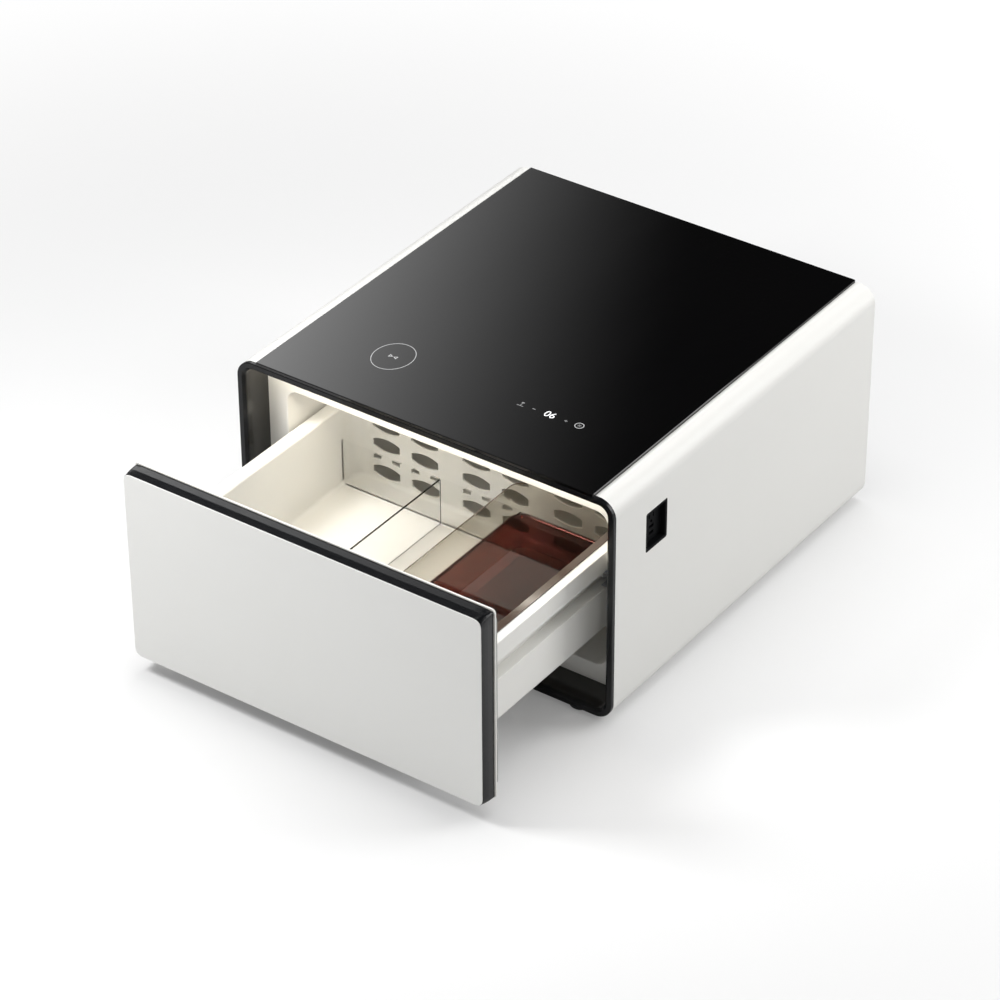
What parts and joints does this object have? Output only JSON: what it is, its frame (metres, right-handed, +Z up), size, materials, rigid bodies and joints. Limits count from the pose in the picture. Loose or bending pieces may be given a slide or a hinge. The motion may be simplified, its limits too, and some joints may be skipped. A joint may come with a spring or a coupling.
{
  "type": "refrigerated smart side table",
  "caption": "Low side table with a black glass top, touch icons and a wireless charging spot, a power socket in its side and one deep chilled drawer on rollers.",
  "frame": {"origin": "the floor point under the centre of the bounding box, with the drawer pulled out as in the picture", "axes": "X to the right as seen from the drawer's front, -Y out of the drawer's front, +Z up from the floor"},
  "size_m": [0.8, 1.1886, 0.4685],
  "materials": {
    "shell_white": "satin white powder coat",
    "gloss_black": "gloss black",
    "throat_grey": "gloss dark grey",
    "liner_white": "smooth moulded white",
    "foam": "rigid foam",
    "black_glass": "polished, back-painted black",
    "carrier_grey": "moulded",
    "ferrite": "sintered",
    "copper": "bare copper",
    "board_green": "solder mask",
    "light_diffuser": "frosted diffuser",
    "socket_black": "fine grain",
    "galvanised_steel": "zinc plated",
    "cover_grey": "satin grey paint",
    "screw_steel": "zinc plated",
    "compressor_black": "satin black enamel",
    "rubber_black": "moulded",
    "fin_aluminium": "mill finish",
    "fan_black": "moulded",
    "foot_black": "moulded",
    "panel_white": "gloss white enamel",
    "gasket_grey": "extruded magnetic gasket",
    "tub_white": "smooth moulded white",
    "clear_acrylic": "clear polished",
    "smoky_acrylic": "smoky brown polished",
    "roller_nylon": "moulded"
  },
  "bodies": {
    "cabinet": {"outer_shell": "shell_white", "front_bezel": "gloss_black", "throat_sleeve": "throat_grey", "liner": "liner_white", "insulation_foam": "foam", "glass_top": "black_glass", "glass_carrier": "carrier_grey", "coil_ferrite": "ferrite", "charging_coil": "copper", "touch_board": "board_green", "display_module": "board_green", "light_bar": "light_diffuser", "socket_frame": "socket_black", "socket_insert": "socket_black", "bulkhead": "galvanised_steel", "base_plate": "galvanised_steel", "back_cover": "cover_grey", "back_cover_screws": "screw_steel", "mains_inlet": "socket_black", "compressor": "compressor_black", "compressor_grommets": "rubber_black", "compressor_bolts": "screw_steel", "condenser_fins": "fin_aluminium", "condenser_tube": "copper", "evaporator_fins": "fin_aluminium", "evaporator_tube": "fin_aluminium", "evaporator_cover": "liner_white", "evaporator_fan_shroud": "fan_black", "condenser_fan_shroud": "fan_black", "suction_pipe": "copper", "discharge_pipe": "copper", "power_supply": "galvanised_steel", "control_board": "board_green", "foot_front_left": "foot_black", "foot_front_right": "foot_black", "foot_back_left": "foot_black", "foot_back_right": "foot_black", "rail_left": "galvanised_steel", "rail_right": "galvanised_steel", "rail_screws": "screw_steel", "front_roller_pins": "screw_steel"},
    "drawer": {"front_panel": "panel_white", "front_trim": "gloss_black", "front_core": "foam", "front_back_plate": "liner_white", "drawer_gasket": "gasket_grey", "drawer_tub": "tub_white", "tub_screws": "screw_steel", "divider_left": "clear_acrylic", "divider_right": "clear_acrylic", "divider_back_plate": "clear_acrylic", "smoky_tray": "smoky_acrylic", "back_roller_brackets": "galvanised_steel"},
    "roller_front_left": {"roller_front_left": "roller_nylon"},
    "roller_front_right": {"roller_front_right": "roller_nylon"},
    "roller_back_left": {"roller_back_left": "roller_nylon"},
    "roller_back_right": {"roller_back_right": "roller_nylon"},
    "evaporator_fan_rotor": {"evaporator_fan_rotor": "fan_black"},
    "condenser_fan_rotor": {"condenser_fan_rotor": "fan_black"}
  },
  "joints": [
    {"name": "drawer_slide", "type": "slide", "parent": "cabinet", "child": "drawer", "axis": [0, -1, 0], "range_m": [-0.358, 0.06]},
    {"name": "roller_front_left_spin", "type": "hinge", "parent": "cabinet", "child": "roller_front_left", "pos_m": [-0.319, -0.15375, 0.2457], "axis": [1, 0, 0], "continuous": true},
    {"name": "roller_front_right_spin", "type": "hinge", "parent": "cabinet", "child": "roller_front_right", "pos_m": [0.319, -0.15375, 0.2457], "axis": [1, 0, 0], "continuous": true},
    {"name": "roller_back_left_spin", "type": "hinge", "parent": "drawer", "child": "roller_back_left", "pos_m": [-0.333, -0.04175, 0.241], "axis": [1, 0, 0], "continuous": true},
    {"name": "roller_back_right_spin", "type": "hinge", "parent": "drawer", "child": "roller_back_right", "pos_m": [0.333, -0.04175, 0.241], "axis": [1, 0, 0], "continuous": true},
    {"name": "evaporator_fan_spin", "type": "hinge", "parent": "cabinet", "child": "evaporator_fan_rotor", "pos_m": [0, 0.36975, 0.29119], "axis": [0, 1, 0], "continuous": true},
    {"name": "condenser_fan_spin", "type": "hinge", "parent": "cabinet", "child": "condenser_fan_rotor", "pos_m": [0.19, 0.57775, 0.185], "axis": [0, 1, 0], "continuous": true}
  ],
  "couplings": [
    {"joint": "roller_front_left_spin", "follows": "drawer_slide", "rad_per_m": 71.429},
    {"joint": "roller_front_right_spin", "follows": "drawer_slide", "rad_per_m": 71.429},
    {"joint": "roller_back_left_spin", "follows": "drawer_slide", "rad_per_m": 75.758},
    {"joint": "roller_back_right_spin", "follows": "drawer_slide", "rad_per_m": 75.758}
  ]
}
